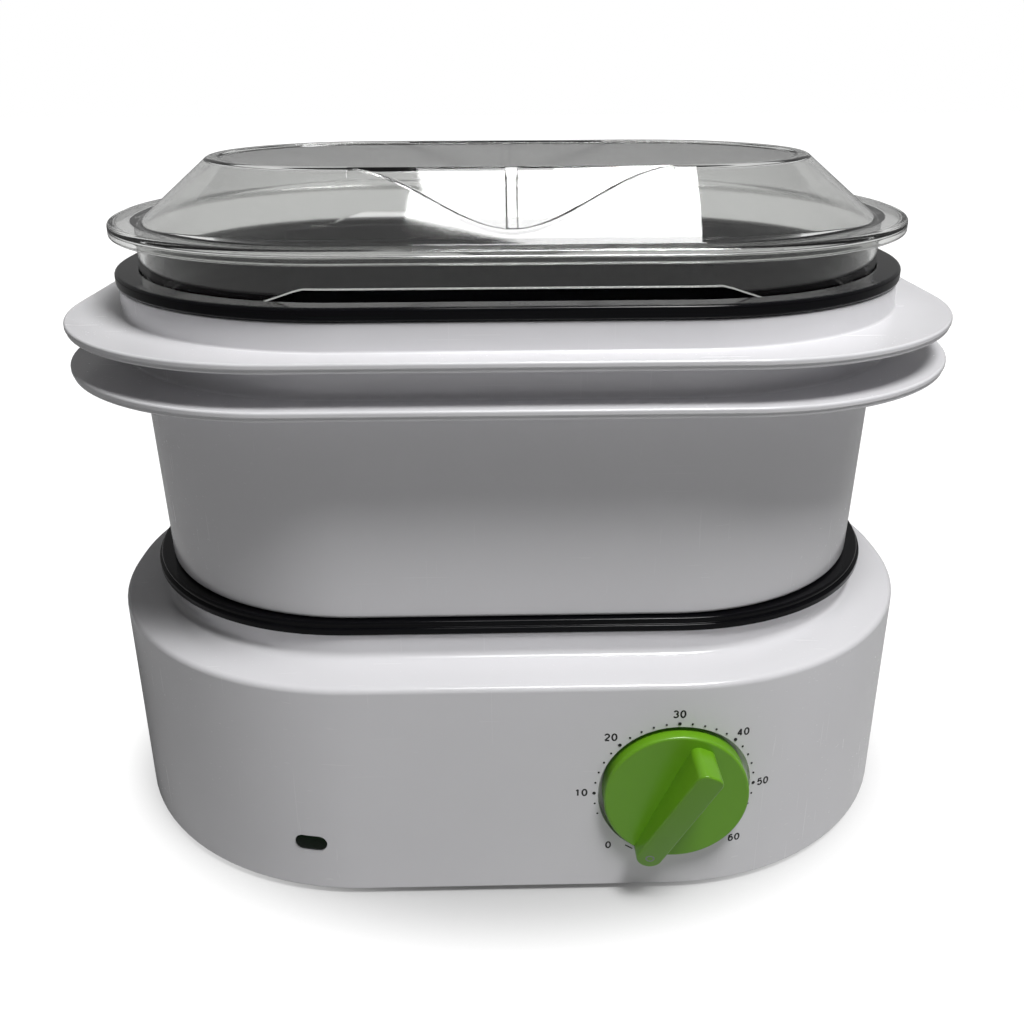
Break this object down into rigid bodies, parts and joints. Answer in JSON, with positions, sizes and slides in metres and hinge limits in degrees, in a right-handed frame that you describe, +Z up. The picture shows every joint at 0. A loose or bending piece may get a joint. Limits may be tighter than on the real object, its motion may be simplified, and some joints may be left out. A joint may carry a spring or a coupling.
{
  "type": "electric food steamer",
  "caption": "Oval electric food steamer nested for storage: white base with timer dial, drip tray, baskets with wide flanges, black insert and clear lid.",
  "frame": {"origin": "middle of the object's bounding box in plan, on the plane the feet stand on; the stack's own axis is 9.7 mm behind it, because the knob stands out at the front", "axes": "+X along the long side to the right, +Y to the back, +Z up; the dial is on the -Y side"},
  "size_m": [0.364, 0.2653, 0.287],
  "materials": {
    "white_gloss": "glossy white polypropylene",
    "white_matte": "matte white plastic",
    "black_gloss": "glossy black plastic",
    "black_matte": "matte black plastic",
    "green_gloss": "satin leaf-green plastic",
    "green_lens": "dark green translucent lens",
    "black_rubber": "moulded rubber",
    "grey_silicone": "silicone",
    "steel": "plain steel",
    "brass": "turned brass",
    "clear_glass": "neon tube glass",
    "smoke_clear": "smoky clear plastic"
  },
  "bodies": {
    "base": {"base_housing": "white_gloss", "bottom_cover": "white_matte", "rubber_feet": "black_rubber", "cover_screws": "steel", "water_reservoir": "white_gloss", "heater_plate": "steel", "heater_gasket": "grey_silicone", "heater_clamp": "steel", "heater_nuts": "steel", "heating_element": "steel", "thermostat": "black_matte", "terminal_block": "white_matte", "cord_bush": "black_rubber", "pilot_lens": "green_lens", "pilot_lamp": "clear_glass", "timer_case": "white_matte", "timer_bell": "steel", "timer_screws": "steel"},
    "knob": {"timer_knob": "green_gloss", "timer_shaft": "brass", "knob_spring": "steel"},
    "steam_ring": {"steam_ring": "black_matte"},
    "drip_tray": {"drip_tray": "black_gloss"},
    "lower_basket": {"lower_basket": "white_gloss"},
    "upper_basket": {"upper_basket": "white_gloss"},
    "food_insert": {"food_insert": "black_gloss"},
    "lid": {"lid": "smoke_clear"}
  },
  "joints": [
    {"name": "timer_turn", "type": "hinge", "parent": "base", "child": "knob", "pos_m": [0.064, -0.1088, 0.0499], "axis": [0, 1, 0], "range_deg": [0, 291]},
    {"name": "ring_lift", "type": "slide", "parent": "base", "child": "steam_ring", "axis": [0, 0, 1], "range_m": [0, 0.07]},
    {"name": "tray_lift", "type": "slide", "parent": "steam_ring", "child": "drip_tray", "axis": [0, 0, 1], "range_m": [0, 0.04]},
    {"name": "lower_basket_lift", "type": "slide", "parent": "drip_tray", "child": "lower_basket", "axis": [0, 0, 1], "range_m": [0, 0.035]},
    {"name": "upper_basket_lift", "type": "slide", "parent": "lower_basket", "child": "upper_basket", "axis": [0, 0, 1], "range_m": [0, 0.11]},
    {"name": "insert_lift", "type": "slide", "parent": "upper_basket", "child": "food_insert", "axis": [0, 0, 1], "range_m": [0, 0.06]},
    {"name": "lid_lift", "type": "slide", "parent": "food_insert", "child": "lid", "axis": [0, 0, 1], "range_m": [0, 0.04]}
  ]
}
